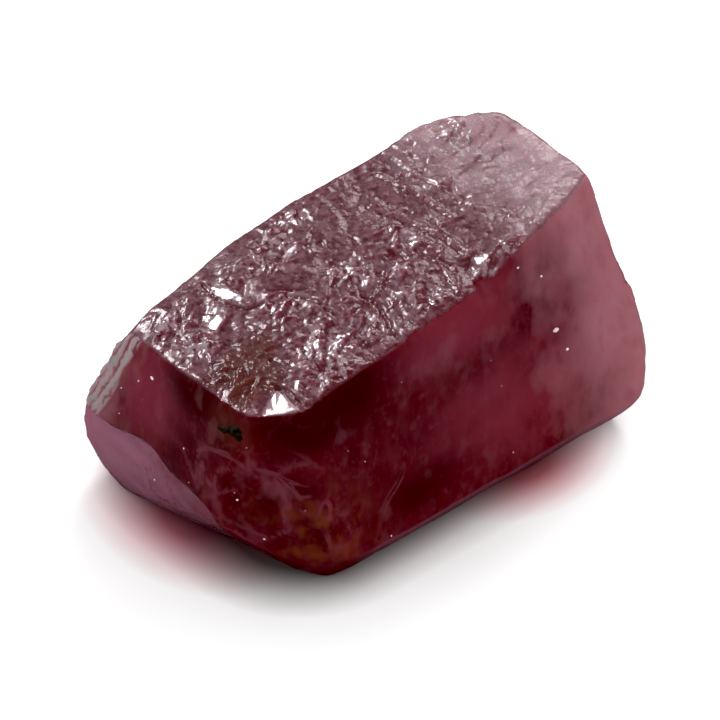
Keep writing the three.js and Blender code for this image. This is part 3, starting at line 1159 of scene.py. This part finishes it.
def redSpot(tree, middle, reach):
    spot = addNode(tree, "ShaderNodeTexCoord").outputs["Object"]
    away = vectorStep(tree, "SUBTRACT", spot, [part * mm for part in middle])
    scaled = vectorStep(tree, "DIVIDE", away, [part * mm for part in reach])
    return mapRange(tree, vectorStep(tree, "LENGTH", scaled), 0.2, 1.0, 1, 0)


def makeFloor():
    build = bmesh.new()
    bmesh.ops.create_circle(build, cap_ends=True, segments=96, radius=studioSet["floorRadius"])
    mesh = bpy.data.meshes.new("studioFloor")
    build.to_mesh(mesh)
    build.free()
    floor = linkPiece("studioFloor", mesh)
    floor.location.z = stoneLow[2] * mm
    material, tree, shader, _ = newMaterial("floorPaint")
    grain = grainNode(tree, 0.004)
    shade = mapRange(tree, grain.outputs["Shade"], 0.2, 0.8, 0.97, 1.0)
    tint = mixColours(tree, 1.0, studioSet["floorColour"], shade, "MULTIPLY")
    tint = mixColours(tree, footShadow(tree), tint, footShade["closeColour"], "MULTIPLY")
    for spot in (footShade["leftRed"], footShade["rightRed"]):
        factor = redSpot(tree, spot["middle"], spot["reach"])
        tint = mixColours(tree, factor, tint, spot["colour"], "MULTIPLY")
    path = addNode(tree, "ShaderNodeLightPath")
    mirrored = mapRange(tree, path.outputs["Is Glossy Ray"], 0, 1, 0, studioSet["floorInShine"])
    tint = mixColours(tree, mirrored, tint, (0, 0, 0, 1))
    tree.links.new(tint, shader.inputs["Base Color"])
    shader.inputs["Roughness"].default_value = studioSet["floorRoughness"]
    shader.inputs["Specular IOR Level"].default_value = studioSet["floorGloss"]
    mesh.materials.append(material)


def makeWorld():
    world = bpy.data.worlds.new("studioSky")
    bpy.context.scene.world = world
    world.use_nodes = True
    tree = world.node_tree
    tree.nodes.clear()
    output = addNode(tree, "ShaderNodeOutputWorld")
    seen = addNode(tree, "ShaderNodeBackground", None, {"Color": (1, 1, 1, 1), "Strength": 1.0})
    lit = addNode(tree, "ShaderNodeBackground")
    spot = addNode(tree, "ShaderNodeTexCoord")
    split = addNode(tree, "ShaderNodeSeparateXYZ")
    path = addNode(tree, "ShaderNodeLightPath")
    mix = addNode(tree, "ShaderNodeMixShader")
    tree.links.new(spot.outputs["Generated"], split.inputs[0])
    strength = mapRange(tree, split.outputs["Z"], -0.05, 0.5, 0.0, studioSet["skyStrength"])
    mirrored = mapRange(tree, path.outputs["Is Glossy Ray"], 0, 1, 1, studioSet["skyInShine"])
    tree.links.new(workOut(tree, "MULTIPLY", strength, mirrored), lit.inputs["Strength"])
    tree.links.new(path.outputs["Is Camera Ray"], mix.inputs[0])
    tree.links.new(lit.outputs[0], mix.inputs[1])
    tree.links.new(seen.outputs[0], mix.inputs[2])
    tree.links.new(mix.outputs[0], output.inputs["Surface"])


def makeSoftBox(name):
    plan = studioSet[name]
    light = bpy.data.lights.new(name, "AREA")
    light.shape = "RECTANGLE"
    light.size, light.size_y = plan["size"]
    light.energy = plan["power"]
    lamp = bpy.data.objects.new(name, light)
    bpy.context.scene.collection.objects.link(lamp)
    toward = Vector(plan["toward"]).normalized()
    lamp.location = toward * plan["away"]
    lamp.rotation_euler = toward.to_track_quat("Z", "Y").to_euler()
    return lamp


def makeStudio():
    makeFloor()
    makeWorld()
    makeSoftBox("backBox")
    glint = makeSoftBox("glintBox")
    glint.visible_diffuse = False
    glint.visible_transmission = False
    view = bpy.context.scene.view_settings
    view.view_transform = "Standard"
    view.use_curve_mapping = True
    view.curve_mapping.black_level = (studioSet["blackLevel"],) * 3


grainGroup = mineralGrainGroup()
makeCamera()
makeStudio()
print("studio ready")
stone = makeStone()
print("stone ready")
makeDarkGrain(stone)
makePaleSpecks(stone)
makeSilk(stone)
makeHealedCracks(stone)
print("inclusions ready")
